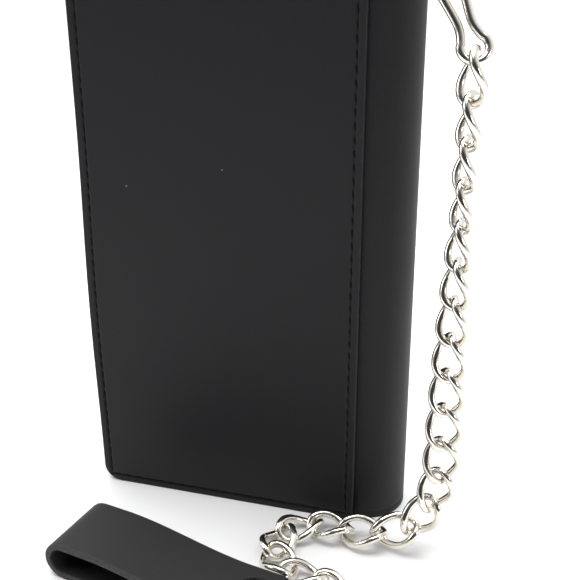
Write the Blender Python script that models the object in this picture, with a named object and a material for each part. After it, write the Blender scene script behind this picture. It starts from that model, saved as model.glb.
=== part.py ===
"""Long chain wallet: a leather bifold that stands on its lower edge, a spring clip on a
D-ring at the top of its spine, a curb chain and a leather belt loop with a press stud.

Frame: metres, +X from the open edge to the spine, +Y from the front cover to the back
cover, +Z up.  The origin is under the front panel's thickness, on the surface the wallet
stands on, where the closed wallet is about as wide on either side.  The model is built about the plane where its halves meet, and then
moved there.
"""
import math

import bmesh
import bpy
from mathutils import Matrix, Vector

# Wallet: the front half lies at -Y, the back half at +Y, and they meet at y = 0.
WALLET_HEIGHT = 0.190
LEFT = -0.054
PANEL_WIDTH = 0.092
PANEL_THICKNESS = 0.0018
SPINE_REACH = 0.0145
HALF_DEPTH = 0.016
COVER_THICKNESS = 0.0018
COVER_INSET = 0.0006
CORNER_RADIUS = 0.006
GAP = 0.0003

# Leather and cloth leaves inside each half.
BILL_GAP = 0.0012
LINING_THICKNESS = 0.0010
LEAF_INSET = 0.0016
SLOT_THICKNESS = 0.0009
SLOT_COUNT = 4
SLOT_TOP = 0.152
SLOT_STEP = 0.013
WINDOW_THICKNESS = 0.0004
WINDOW_WIDTH = 0.064
WINDOW_HEIGHT = 0.052
WINDOW_LAP = 0.0040
POCKET_HEIGHT = 0.088

# Coin pouch on the back half, closed by a zip that runs along X.
POUCH_DEPTH = 0.0046
POUCH_WALL = 0.0015
POUCH_FLOOR = 0.030
POUCH_HEIGHT = 0.108
POUCH_SKIN = 0.0009
ZIP_LENGTH = 0.070
ZIP_OPENING = 0.0084
ZIP_BELOW_TOP = 0.026
TAPE_THICKNESS = 0.0005
TAPE_WIDTH = 0.0080
TOOTH_PITCH = 0.0028
TOOTH_REACH = 0.0011
TOOTH_SPINE = 0.0010
TOOTH_DEPTH = 0.0011
SLIDER_LENGTH = 0.0090
SLIDER_WIDTH = 0.0066
SLIDER_DEPTH = 0.0012
PULL_LENGTH = 0.0150
PULL_WIDTH = 0.0052
PULL_THICKNESS = 0.0008

# Tab, D-ring and spring clip at the top of the spine.
TAB_THICKNESS = 0.0009
TAB_WIDTH = 0.0062
TAB_DEPTH = 0.026
D_WIRE = 0.0020
D_HALF_WIDTH = 0.0058
D_HEIGHT = 0.0098
TAB_BEYOND_PANEL = 0.0050
D_BAR_RISE = 0.0043
D_BAR_Y = -0.0065
D_LEAN = math.radians(22.0)
CLIP_WIRE = 0.0025
CLIP_EYE_RADIUS = 0.0039
CLIP_TOP_RADIUS = 0.0042
CLIP_HANG = Vector((0.0258, -0.0163, -0.0288))
CLIP_WAIST = [(0.0068, 0.0020), (0.0135, 0.0027), (0.0210, 0.0037)]
CLIP_SHOULDER = 0.0043
CLIP_SHOULDER_DROP = 2.4
SIGHT = Vector((-0.251, 0.871, -0.423))

# Curb chain.
LINK_WIRE = 0.0025
LINK_HALF_LENGTH = 0.00755
LINK_HALF_WIDTH = 0.00495
LINK_TWIST = math.radians(45.0)
LINK_SAMPLES = 16
LINK_SLACK = 0.0004
CLIP_SLACK = 0.0014
HANGING_LINKS = 11
HANGING_HEADING = 180.0
HANGING_DIP = 89.5
HANGING_ROLL = 87.0
FIRST_ROLL = 72.0
TURN_FROM = 3
HANGING_PITCH = 2 * LINK_HALF_LENGTH - LINK_WIRE - LINK_SLACK
LYING_SLACK = 0.0014
LYING_PITCH = 2 * LINK_HALF_LENGTH - LINK_WIRE - LYING_SLACK
SIDE_SIGHT = Vector((-0.277, 0.961, 0.0))

# Belt loop.
RING_FROM_CHAIN = Vector((0.0030071, -0.0084224, 0.0))
STRAP_ANGLE = math.radians(-11.0)
STRAP_WIDTH = 0.025
STRAP_THICKNESS = 0.0022
STRAP_LENGTH = 0.086
STRAP_CREST = 0.0130
STRAP_CREST_AT = 0.015
CREST_DIP = 0.0002
FLAP_END = 0.0765
FLAP_START = 0.0105
SNAP_AT = 0.069
SNAP_CAP_RADIUS = 0.0075
SNAP_CAP_DEPTH = 0.0018
SNAP_RING_RADIUS = 0.0050
SNAP_KNOB_RADIUS = 0.0018
SNAP_PLATE = 0.0008
SNAP_KNOB_HEIGHT = 0.0012
RIVET_AT = 0.0815
RIVET_HEAD_RADIUS = 0.0032
RIVET_HEAD_DEPTH = 0.0010
RIVET_POST_RADIUS = 0.0012
LOOP_START = 0.0772
LOOP_WIDTH = 0.0090
LOOP_THICKNESS = 0.0015
LOOP_CLEARANCE = 0.0007
RING_WIRE = 0.0024
RING_RADIUS = 0.0105
RING_AT = 0.1033

PANEL_RIGHT = LEFT + PANEL_WIDTH
CROWN = PANEL_RIGHT + SPINE_REACH
COVER_FACE = HALF_DEPTH - PANEL_THICKNESS - GAP
FOLD_AXIS_X = CROWN + GAP / 2
LEAF_LEFT = LEFT + LEAF_INSET
LEAF_BOTTOM = LEAF_INSET
LEAF_TOP = WALLET_HEIGHT - LEAF_INSET
D_BAR = Vector((PANEL_RIGHT + TAB_BEYOND_PANEL, D_BAR_Y, WALLET_HEIGHT + D_BAR_RISE))
CLIP_EYE = D_BAR + CLIP_HANG

for old in list(bpy.data.objects):
    bpy.data.objects.remove(old, do_unlink=True)

MODEL = bpy.data.collections.new("chain_wallet")
CUTTERS = bpy.data.collections.new("cutters")
bpy.context.scene.collection.children.link(MODEL)
bpy.context.scene.collection.children.link(CUTTERS)


def material(name, color, roughness, metallic=0.0):
    made = bpy.data.materials.new(name)
    made.use_nodes = True
    shader = made.node_tree.nodes["Principled BSDF"]
    shader.inputs["Base Color"].default_value = (*color, 1.0)
    shader.inputs["Roughness"].default_value = roughness
    shader.inputs["Metallic"].default_value = metallic
    return made


def place(name, data, look, parent=None, location=(0, 0, 0), rotation=None):
    """Make one object of the model, with its own copy of its material."""
    obj = bpy.data.objects.new(name, data)
    if rotation is None:
        obj.location = location
    else:
        obj.matrix_world = Matrix.Translation(location) @ rotation.to_4x4()
    if not data.materials:
        data.materials.append(material(name, *look))
    MODEL.objects.link(obj)
    if parent is not None:
        obj.parent = parent
        obj.matrix_parent_inverse = Matrix.Translation(parent.location).inverted()
    return obj


def pivot(name, location):
    """An empty on a joint's axis."""
    empty = bpy.data.objects.new(name, None)
    empty.empty_display_size = 0.005
    empty.location = location
    MODEL.objects.link(empty)
    return empty


def mesh_from(bm, name):
    bmesh.ops.recalc_face_normals(bm, faces=bm.faces)
    mesh = bpy.data.meshes.new(name)
    bm.to_mesh(mesh)
    bm.free()
    return mesh


def round_corners(bm, axis, radius, wanted=lambda middle: True, segments=5):
    """Bevel the edges that run along one axis and whose middle is wanted."""
    edges = []
    for edge in bm.edges:
        along = (edge.verts[0].co - edge.verts[1].co).normalized()
        middle = (edge.verts[0].co + edge.verts[1].co) / 2
        if abs(along[axis]) > 0.999 and wanted(middle):
            edges.append(edge)
    bmesh.ops.bevel(bm, geom=edges, offset=radius, segments=segments, profile=0.5, affect="EDGES")


def box(low, high):
    """A closed box between two corners."""
    bm = bmesh.new()
    bmesh.ops.create_cube(bm, size=1.0)
    size = Vector(high) - Vector(low)
    middle = (Vector(high) + Vector(low)) / 2
    bmesh.ops.scale(bm, vec=size, verts=bm.verts)
    bmesh.ops.translate(bm, vec=middle, verts=bm.verts)
    return bm


def prism(outline, low, high):
    """A closed solid with an XY outline, from z = low to z = high."""
    bm = bmesh.new()
    bottom = bm.faces.new([bm.verts.new((x, y, low)) for x, y in outline])
    raised = bmesh.ops.extrude_face_region(bm, geom=[bottom])
    moved = [item for item in raised["geom"] if isinstance(item, bmesh.types.BMVert)]
    bmesh.ops.translate(bm, vec=(0, 0, high - low), verts=moved)
    return bm


def strip_outline(path, thickness):
    """The outline of a leather strip seen from its edge, around its middle line."""
    left, right = [], []
    for index, point in enumerate(path):
        before = Vector(path[max(index - 1, 0)])
        after = Vector(path[min(index + 1, len(path) - 1)])
        along = (after - before).normalized()
        normal = Vector((-along.y, along.x))
        left.append(Vector(point) + normal * thickness / 2)
        right.append(Vector(point) - normal * thickness / 2)
    return [tuple(point) for point in left + right[::-1]]


def arc(center, radius, start, end, steps):
    """Points on an arc between two angles in degrees."""
    points = []
    for step in range(steps + 1):
        angle = math.radians(start + (end - start) * step / steps)
        points.append((center[0] + radius * math.cos(angle), center[1] + radius * math.sin(angle)))
    return points


def wire(name, points, radius, cyclic):
    """Wire bent along its points, as a round bevel on a curve."""
    curve = bpy.data.curves.new(name, "CURVE")
    curve.dimensions = "3D"
    curve.bevel_depth = radius
    curve.bevel_resolution = 2
    curve.use_fill_caps = True
    spline = curve.splines.new("POLY")
    spline.points.add(len(points) - 1)
    for slot, point in zip(spline.points, points):
        slot.co = (*point, 1.0)
    spline.use_cyclic_u = cyclic
    return curve


def smooth_points(route, spacing):
    """Points along a smooth curve through the route, closely and evenly spaced."""
    knots = [Vector(point) for point in route]
    knots = [knots[0] * 2 - knots[1]] + knots + [knots[-1] * 2 - knots[-2]]
    dense = []
    for index in range(1, len(knots) - 2):
        p0, p1, p2, p3 = knots[index - 1:index + 3]
        steps = max(2, math.ceil((p2 - p1).length / spacing))
        for step in range(steps):
            t = step / steps
            dense.append(0.5 * (2 * p1 + (p2 - p0) * t + (2 * p0 - 5 * p1 + 4 * p2 - p3) * t ** 2
                                + (3 * p1 - p0 - 3 * p2 + p3) * t ** 3))
    dense.append(knots[-2])
    return dense


LEATHER = ((0.021, 0.021, 0.023), 0.55)
CLOTH = ((0.030, 0.030, 0.032), 0.85)
NICKEL = ((0.83, 0.81, 0.77), 0.12, 1.0)
PLASTIC = ((0.70, 0.72, 0.74), 0.10)
BLACK_METAL = ((0.025, 0.025, 0.027), 0.25)


def leaf(name, look, x, y, z, radius, parent=None, segments=4):
    """A flat leaf of leather or cloth that stands in the XZ plane, with round corners."""
    bm = box((x[0], y[0], z[0]), (x[1], y[1], z[1]))
    if radius:
        round_corners(bm, 1, radius, segments=segments)
    return place(name, mesh_from(bm, name), look, parent)


def cover(name, side, parent=None):
    """One half of the outer cover: a flat board that turns into a quarter of the spine."""
    def spine(reach, face):
        steps = 8
        points = []
        for step in range(steps + 1):
            angle = math.pi / 2 * step / steps
            points.append((PANEL_RIGHT + reach * math.sin(angle), face * math.cos(angle)))
        points[-1] = (points[-1][0], GAP / 2)
        return points

    outer = [(LEFT + COVER_INSET, COVER_FACE)] + spine(SPINE_REACH, COVER_FACE)
    inner_face = COVER_FACE - COVER_THICKNESS
    inner = [(LEFT + COVER_INSET, inner_face)] + spine(SPINE_REACH - COVER_THICKNESS, inner_face)
    outline = [(x, side * y) for x, y in outer + inner[::-1]]
    bm = prism(outline, 0.0, WALLET_HEIGHT)
    at_open_edge = LEFT + COVER_INSET
    round_corners(bm, 1, CORNER_RADIUS, lambda middle: abs(middle.x - at_open_edge) < GAP)
    return place(name, mesh_from(bm, name), LEATHER, parent)


def front_half():
    """Outer cover, stitched front panel, lining, card slots and the window pocket."""
    cover("front_cover", -1)
    panel = box((LEFT, -HALF_DEPTH, 0.0), (PANEL_RIGHT, PANEL_THICKNESS - HALF_DEPTH, WALLET_HEIGHT))
    round_corners(panel, 1, CORNER_RADIUS, lambda middle: middle.x < 0)
    place("front_panel", mesh_from(panel, "front_panel"), LEATHER)
    width = (LEAF_LEFT, PANEL_RIGHT)
    y = -(COVER_FACE - COVER_THICKNESS) + BILL_GAP
    leaf("front_lining", CLOTH, width, (y, y + LINING_THICKNESS), (LEAF_BOTTOM, LEAF_TOP), CORNER_RADIUS)
    y += LINING_THICKNESS + GAP
    for index in range(SLOT_COUNT):
        top = SLOT_TOP - index * SLOT_STEP
        leaf(f"card_slot_{index + 1}", LEATHER, width, (y, y + SLOT_THICKNESS), (LEAF_BOTTOM, top), 0.002)
        y += SLOT_THICKNESS + GAP
    middle = (LEAF_LEFT + PANEL_RIGHT) / 2
    height = LEAF_BOTTOM + POCKET_HEIGHT / 2
    half_w, half_h = WINDOW_WIDTH / 2 + WINDOW_LAP, WINDOW_HEIGHT / 2 + WINDOW_LAP
    leaf("window_film", PLASTIC, (middle - half_w, middle + half_w), (y, y + WINDOW_THICKNESS),
         (height - half_h, height + half_h), 0.002)
    y += WINDOW_THICKNESS + GAP
    pocket = leaf("window_pocket", LEATHER, width, (y, y + SLOT_THICKNESS),
                  (LEAF_BOTTOM, LEAF_BOTTOM + POCKET_HEIGHT), 0.002)
    hole = box((middle - WINDOW_WIDTH / 2, y - GAP / 2, height - WINDOW_HEIGHT / 2),
               (middle + WINDOW_WIDTH / 2, y + SLOT_THICKNESS + GAP / 2, height + WINDOW_HEIGHT / 2))
    round_corners(hole, 1, 0.004)
    cut(pocket, hole)


def cut(target, bm):
    """Take a cutter's shape out of an object with a Boolean."""
    name = target.name + "_cutter"
    cutter = bpy.data.objects.new(name, mesh_from(bm, name))
    cutter.hide_render = True
    cutter.display_type = "WIRE"
    CUTTERS.objects.link(cutter)
    boolean = target.modifiers.new("cut", "BOOLEAN")
    boolean.object = cutter
    boolean.operation = "DIFFERENCE"


def tooth_row(name, side, center_z, y, length, parent):
    """One row of zip teeth on a bar, with its teeth between those of the other row."""
    count = int(length / TOOTH_PITCH)
    start = -count * TOOTH_PITCH / 2 + (0 if side > 0 else TOOTH_PITCH / 2)
    half = TOOTH_PITCH / 4 - GAP / 2
    back = side * (TOOTH_REACH + TOOTH_SPINE)
    outline = [(-length / 2, side * TOOTH_REACH)]
    for index in range(count):
        x = start + (index + 0.5) * TOOTH_PITCH
        if abs(x) + half > length / 2:
            continue
        tip = -side * (TOOTH_REACH / 2 - GAP / 2) * 0.5
        outline += [(x - half, side * TOOTH_REACH), (x - half, tip), (x + half, tip),
                    (x + half, side * TOOTH_REACH)]
    outline += [(length / 2, side * TOOTH_REACH), (length / 2, back), (-length / 2, back)]
    bm = prism(outline, 0.0, TOOTH_DEPTH)
    turn = Matrix(((1, 0, 0), (0, 0, 1), (0, 1, 0))).to_4x4()
    bmesh.ops.transform(bm, matrix=turn, verts=bm.verts)
    middle = (LEAF_LEFT + PANEL_RIGHT) / 2
    bmesh.ops.translate(bm, vec=(middle, y, center_z), verts=bm.verts)
    return place(name, mesh_from(bm, name), NICKEL, parent)


def back_half(fold):
    """Outer cover, lining and the zipped coin pouch, all turning about the spine."""
    cover("back_cover", 1, fold)
    width = (LEAF_LEFT, PANEL_RIGHT)
    y = COVER_FACE - COVER_THICKNESS - BILL_GAP
    leaf("back_lining", CLOTH, width, (y - LINING_THICKNESS, y), (LEAF_BOTTOM, LEAF_TOP), CORNER_RADIUS, fold)
    y -= LINING_THICKNESS + GAP
    pouch_z = (POUCH_FLOOR, POUCH_FLOOR + POUCH_HEIGHT)
    gusset = leaf("pouch_gusset", CLOTH, width, (y - POUCH_DEPTH, y), pouch_z, 0.003, fold)
    hollow = box((width[0] + POUCH_WALL, y - POUCH_DEPTH - GAP, pouch_z[0] + POUCH_WALL),
                 (width[1] - POUCH_WALL, y + GAP, pouch_z[1] - POUCH_WALL))
    cut(gusset, hollow)
    y -= POUCH_DEPTH + GAP
    middle = (LEAF_LEFT + PANEL_RIGHT) / 2
    zip_z = pouch_z[1] - ZIP_BELOW_TOP
    for name, side in (("zip_tape_upper", 1), ("zip_tape_lower", -1)):
        near = zip_z + side * (TOOTH_REACH + TOOTH_SPINE + GAP)
        far = near + side * TAPE_WIDTH
        leaf(name, CLOTH, (middle - ZIP_LENGTH / 2, middle + ZIP_LENGTH / 2),
             (y + GAP, y + GAP + TAPE_THICKNESS), (min(near, far), max(near, far)), 0, fold)
        tooth_row(name.replace("tape", "teeth"), side, zip_z, y + GAP - TOOTH_DEPTH, ZIP_LENGTH, fold)
    panel = leaf("pouch_panel", LEATHER, width, (y - POUCH_SKIN, y), pouch_z, 0.003, fold)
    slot = box((middle - ZIP_LENGTH / 2 - 0.003, y - POUCH_SKIN - GAP, zip_z - ZIP_OPENING / 2),
               (middle + ZIP_LENGTH / 2 + 0.003, y + GAP / 2, zip_z + ZIP_OPENING / 2))
    round_corners(slot, 1, 0.002, segments=3)
    cut(panel, slot)
    slider_x = middle - ZIP_LENGTH / 2 + SLIDER_LENGTH
    front = y + GAP - TOOTH_DEPTH - GAP
    slide = pivot("zip_slider_axis", (slider_x, front, zip_z))
    body = box((slider_x - SLIDER_LENGTH / 2, front - SLIDER_DEPTH, zip_z - SLIDER_WIDTH / 2),
               (slider_x + SLIDER_LENGTH / 2, front, zip_z + SLIDER_WIDTH / 2))
    round_corners(body, 1, 0.0018, segments=3)
    place("zip_slider", mesh_from(body, "zip_slider"), NICKEL, slide)
    pull_y = front - SLIDER_DEPTH - GAP
    swivel = pivot("zip_pull_axis", (slider_x, pull_y, zip_z))
    pull = box((slider_x - PULL_WIDTH / 2, pull_y - PULL_THICKNESS, zip_z + PULL_WIDTH / 2 - PULL_LENGTH),
               (slider_x + PULL_WIDTH / 2, pull_y, zip_z + PULL_WIDTH / 2))
    round_corners(pull, 1, PULL_WIDTH * 0.4, segments=4)
    place("zip_pull", mesh_from(pull, "zip_pull"), NICKEL, swivel)


def ring_tab():
    """A leather tab sewn inside the spine, folded over the straight bar of the D-ring."""
    radius = D_WIRE / 2 + GAP + TAB_THICKNESS / 2
    bar = (D_BAR.x, D_BAR.z)
    foot = D_BAR.z - TAB_DEPTH
    path = [(bar[0] - radius, foot)] + arc(bar, radius, 180, 0, 8) + [(bar[0] + radius, foot)]
    bm = prism(strip_outline(path, TAB_THICKNESS), 0.0, TAB_WIDTH)
    turn = Matrix(((1, 0, 0), (0, 0, 1), (0, 1, 0))).to_4x4()
    bmesh.ops.transform(bm, matrix=turn, verts=bm.verts)
    bmesh.ops.translate(bm, vec=(0, D_BAR.y - TAB_WIDTH / 2, 0), verts=bm.verts)
    place("ring_tab", mesh_from(bm, "ring_tab"), LEATHER)


def d_ring():
    """The D-ring on the tab: its bar lies along Y and its bow leans over the spine."""
    straight = D_HEIGHT - D_HALF_WIDTH
    flat = [(-D_HALF_WIDTH, 0.0), (0.0, 0.0), (D_HALF_WIDTH, 0.0)]
    flat += arc((0.0, straight), D_HALF_WIDTH, 0, 180, 8)
    lean = Vector((math.sin(D_LEAN), 0.0, math.cos(D_LEAN)))
    points = [Vector((0, 1, 0)) * y + lean * up for y, up in flat]
    place("d_ring", wire("d_ring", points, D_WIRE / 2, True), NICKEL, location=D_BAR)
    return D_BAR + lean * D_HEIGHT


def spring_clip(hook):
    """A pear-shaped wire clip: a bow over the D-ring, a neck and a round eye for the chain.

    It gives the lowest point of the eye's wire, where the chain hangs.
    """
    down = (CLIP_EYE - hook).normalized()
    across = down.cross(SIGHT).normalized()
    reach = (CLIP_EYE - hook).length
    bend = CLIP_TOP_RADIUS
    crown = reach + CLIP_WIRE / 2 + D_WIRE / 2 + GAP
    side = CLIP_WAIST + [(crown - CLIP_SHOULDER_DROP * bend, CLIP_SHOULDER)]
    bow = [(crown - bend + y, x) for x, y in arc((0, 0), bend, 0, 90, 4)]
    eye = [(y, x) for x, y in arc((0, 0), CLIP_EYE_RADIUS, -90, 42, 6)]
    half = eye + side + bow
    ring = half + [(height, -half_width) for height, half_width in half[-2:0:-1]]
    dense = smooth_points([(height, width, 0) for height, width in ring + ring[:1]], 0.0024)[:-1]
    points = [CLIP_EYE - hook - down * point.x + across * point.y for point in dense]
    place("spring_clip", wire("spring_clip", points, CLIP_WIRE / 2, True), NICKEL, location=hook)
    facing = down.cross(across)
    fall = Vector((0, 0, -1))
    fall -= facing * fall.dot(facing)
    return CLIP_EYE + fall.normalized() * CLIP_EYE_RADIUS


# Lines of the links that don't hang straight, by hand: heading and dip in degrees, then the
# turn of the link about its own line.  A heading of 0 is +X and one of 90 is +Y.
LYING_LINKS = [
    (188, 78, 4), (194, 58, 14), (186, 20, 33), (177, 5.5, 78), (172, 4, 99), (218, 0, 99),
    (264.5, 0, 98), (311, 0, 99), (358, 0, 94), (324, -4, 82), (301, -5, 66),
]


def chain_lines():
    """Each link's direction, roll and pitch, from the clip to the ring of the belt loop."""
    lines = []
    for index in range(HANGING_LINKS):
        share = min(max((index - TURN_FROM) / (HANGING_LINKS - TURN_FROM), 0.0), 1.0)
        roll = FIRST_ROLL if index == 0 else HANGING_ROLL * (1 - share)
        lines.append((HANGING_HEADING, HANGING_DIP, roll, HANGING_PITCH))
    lines += [(heading, dip, roll, LYING_PITCH) for heading, dip, roll in LYING_LINKS]
    return lines


def chain_joints(start):
    """The points where one link hangs in the next."""
    joints = [start]
    for heading, dip, _, pitch in chain_lines():
        flat = math.cos(math.radians(dip))
        along = Vector((flat * math.cos(math.radians(heading)), flat * math.sin(math.radians(heading)),
                        -math.sin(math.radians(dip))))
        joints.append(joints[-1] + along * pitch)
    return joints


def link_wire():
    """A curb link about its own middle: an oval whose two ends are twisted opposite ways."""
    points = []
    for index in range(LINK_SAMPLES):
        angle = 2 * math.pi * index / LINK_SAMPLES
        twist = LINK_TWIST * math.cos(angle)
        across = LINK_HALF_WIDTH * math.sin(angle)
        points.append((-LINK_HALF_LENGTH * math.cos(angle), across * math.cos(twist),
                       across * math.sin(twist)))
    return wire("curb_link", points, LINK_WIRE / 2, True)


def link_turns(joints):
    """Each link's rotation: X along the chain, and Y, its width, turned by the link's roll.

    The side that the rolls are counted from follows the chain round its bends without twist.
    """
    turns = []
    before = (joints[1] - joints[0]).normalized()
    side = before.cross(SIDE_SIGHT).normalized()
    for here, there, line in zip(joints, joints[1:], chain_lines()):
        along = (there - here).normalized()
        side = before.rotation_difference(along) @ side
        width = Matrix.Rotation(math.radians(line[2]), 3, along) @ side
        turns.append(Matrix((along, width, along.cross(width))).transposed())
        before = along
    return turns


def chain(start):
    shape = link_wire()
    shape.materials.append(material("curb_link", *NICKEL))
    joints = chain_joints(start)
    for index, turn in enumerate(link_turns(joints)):
        name = f"link_{index + 1:02d}"
        axis = pivot(name + "_axis", joints[index])
        place(name, shape, NICKEL, axis, (joints[index] + joints[index + 1]) / 2, turn)
    return joints


def strap_path():
    """Middle lines of the belt loop, in the strap's own length and height."""
    half = STRAP_THICKNESS / 2
    flat_flap = STRAP_THICKNESS + GAP + SNAP_PLATE + GAP + SNAP_KNOB_HEIGHT + SNAP_PLATE + GAP + half
    fold_radius = (STRAP_CREST - half - half) / 2
    nose = arc((fold_radius + half, fold_radius + half), fold_radius, 270, 100, 9)
    base = [(STRAP_LENGTH, half), (STRAP_LENGTH * 0.5, half)] + nose
    crest = STRAP_CREST - half
    flap = [(FLAP_START, crest - CREST_DIP), (STRAP_CREST_AT, crest)]
    steps = 7
    for step in range(1, steps):
        share = step / steps
        ease = share * share * (3 - 2 * share)
        run = STRAP_CREST_AT + (SNAP_AT - SNAP_CAP_RADIUS - STRAP_CREST_AT) * share
        flap.append((run, crest + (flat_flap - crest) * ease))
    flap += [(SNAP_AT - SNAP_CAP_RADIUS, flat_flap), (FLAP_END, flat_flap)]
    base.append((FLAP_START - GAP, crest - CREST_DIP))
    return base, flap, flat_flap


def loop_path():
    """Middle line of the narrow loop that is riveted on the base leaf and holds the ring."""
    half = LOOP_THICKNESS / 2
    low = STRAP_THICKNESS + GAP + half
    radius = half + LOOP_CLEARANCE + RING_WIRE / 2
    bulge = RING_AT - math.sqrt(RING_RADIUS ** 2 - (LOOP_WIDTH / 2) ** 2)
    path = [(LOOP_START, low)] + arc((bulge, low + radius), radius, -90, 90, 8)
    above = low + LOOP_THICKNESS + GAP
    path.append((RING_AT - RING_RADIUS - RING_WIRE, low + 2 * radius))
    path += [(RIVET_AT + RIVET_HEAD_RADIUS + GAP, above), (LOOP_START, above)]
    return path, low + radius


def lathe(profile):
    """A solid turned from a profile of radius and height; a profile that closes leaves a bore."""
    closed = profile[-1] == profile[0]
    points = profile[:-1] if closed else profile
    bm = bmesh.new()
    verts = [bm.verts.new((radius, 0, height)) for radius, height in points]
    pairs = zip(verts, verts[1:] + verts[:1]) if closed else zip(verts, verts[1:])
    edges = [bm.edges.new(pair) for pair in pairs]
    bmesh.ops.spin(bm, geom=verts + edges, cent=(0, 0, 0), axis=(0, 0, 1), angle=2 * math.pi, steps=20,
                   use_merge=True)
    bmesh.ops.remove_doubles(bm, verts=bm.verts, dist=1e-6)
    return bm


def strap_fold(chain_end):
    """Where the strap's fold lies on the ground, so that its ring is at the chain's end."""
    ring = Vector((chain_end.x, chain_end.y, 0.0)) + RING_FROM_CHAIN
    return ring - Matrix.Rotation(STRAP_ANGLE, 3, "Z") @ Vector((RING_AT, 0, 0))


def strap(fold):
    """Belt loop: base leaf with the ring, flap leaf with the press stud, and their fittings."""
    frame = Matrix.Translation(fold) @ Matrix.Rotation(STRAP_ANGLE, 4, "Z")
    stand = frame @ Matrix(((1, 0, 0), (0, 0, 1), (0, 1, 0))).to_4x4()
    base_path, flap_path, flat_flap = strap_path()
    around_ring, ring_height = loop_path()
    base_pivot = pivot("strap_base_axis", frame @ Vector((RING_AT - RING_RADIUS, 0, ring_height)))
    flap_pivot = pivot("strap_flap_axis", frame @ Vector((FLAP_START - GAP / 2, 0, STRAP_CREST + GAP / 2)))

    def sweep(name, path, thickness, width, parent):
        bm = prism(strip_outline(path, thickness), -width / 2, width / 2)
        bmesh.ops.transform(bm, matrix=stand, verts=bm.verts)
        return place(name, mesh_from(bm, name), LEATHER, parent)

    def turned(name, look, at, profile, parent):
        """A round fitting, turned about the upright line through a point of the strap."""
        bm = lathe(profile)
        bmesh.ops.transform(bm, matrix=frame @ Matrix.Translation((at, 0, 0)), verts=bm.verts)
        place(name, mesh_from(bm, name), look, parent)

    base = sweep("strap_base", base_path, STRAP_THICKNESS, STRAP_WIDTH, base_pivot)
    loop = sweep("ring_loop", around_ring, LOOP_THICKNESS, LOOP_WIDTH, base_pivot)
    sweep("strap_flap", flap_path, STRAP_THICKNESS, STRAP_WIDTH, flap_pivot)
    cap = flat_flap + STRAP_THICKNESS / 2 + GAP
    turned("snap_cap", BLACK_METAL, SNAP_AT,
           [(0, cap), (SNAP_CAP_RADIUS, cap), (SNAP_CAP_RADIUS, cap + SNAP_CAP_DEPTH * 0.4),
            (SNAP_CAP_RADIUS * 0.85, cap + SNAP_CAP_DEPTH), (0, cap + SNAP_CAP_DEPTH)], flap_pivot)
    plate = STRAP_THICKNESS + GAP
    knob = plate + SNAP_PLATE
    turned("snap_stud", NICKEL, SNAP_AT,
           [(0, plate), (SNAP_RING_RADIUS, plate), (SNAP_RING_RADIUS, knob), (SNAP_KNOB_RADIUS, knob),
            (SNAP_KNOB_RADIUS, knob + SNAP_KNOB_HEIGHT), (0, knob + SNAP_KNOB_HEIGHT)], base_pivot)
    inner = SNAP_KNOB_RADIUS + GAP
    low, high = knob + GAP, flat_flap - STRAP_THICKNESS / 2 - GAP
    turned("snap_socket", NICKEL, SNAP_AT,
           [(inner, low), (SNAP_RING_RADIUS, low), (SNAP_RING_RADIUS, high), (inner, high), (inner, low)],
           flap_pivot)
    head = STRAP_THICKNESS + 2 * LOOP_THICKNESS + 3 * GAP
    turned("strap_rivet", NICKEL, RIVET_AT,
           [(0, GAP), (RIVET_POST_RADIUS, GAP), (RIVET_POST_RADIUS, head), (RIVET_HEAD_RADIUS, head),
            (RIVET_HEAD_RADIUS * 0.8, head + RIVET_HEAD_DEPTH), (0, head + RIVET_HEAD_DEPTH)], base_pivot)
    for leather in (base, loop):
        hole = bmesh.new()
        bmesh.ops.create_cone(hole, cap_ends=True, segments=16, radius1=RIVET_POST_RADIUS + GAP,
                              radius2=RIVET_POST_RADIUS + GAP, depth=2.2 * head)
        bmesh.ops.transform(hole, matrix=frame @ Matrix.Translation((RIVET_AT, 0, 0)), verts=hole.verts)
        cut(leather, hole)
    return frame @ Vector((RING_AT, 0, ring_height))


def strap_ring(center, last_joint):
    """The round ring in the loop; the last link of the chain hangs on it."""
    points = [Vector((x, y, 0)) + center - last_joint for x, y in arc((0, 0), RING_RADIUS, 0, 345, 23)]
    place("strap_ring", wire("strap_ring", points, RING_WIRE / 2, True), NICKEL, location=last_joint)


front_half()
fold_pivot = pivot("fold_axis", (FOLD_AXIS_X, 0.0, 0.0))
back_half(fold_pivot)
ring_tab()
hook_point = d_ring()
eye_bottom = spring_clip(hook_point)
link_joints = chain(eye_bottom + Vector((0, 0, (CLIP_WIRE + CLIP_SLACK) / 2)))
strap_ring(strap(strap_fold(link_joints[-1])), link_joints[-1])

# Move what was built about the meeting plane of the two halves to the part's own origin.
to_origin = Vector((0.0, HALF_DEPTH - PANEL_THICKNESS / 2, 0.0))
for collection in (MODEL, CUTTERS):
    for obj in collection.objects:
        if obj.parent is None:
            obj.location += to_origin
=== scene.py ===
"""Looks of a long leather chain wallet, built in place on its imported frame.

Sizes are in metres.  +X runs from the open edge to the spine, +Y from the front cover to
the back cover and +Z up.
"""
import math

import bmesh
import bpy
import numpy as np
from mathutils import Matrix, Vector


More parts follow.
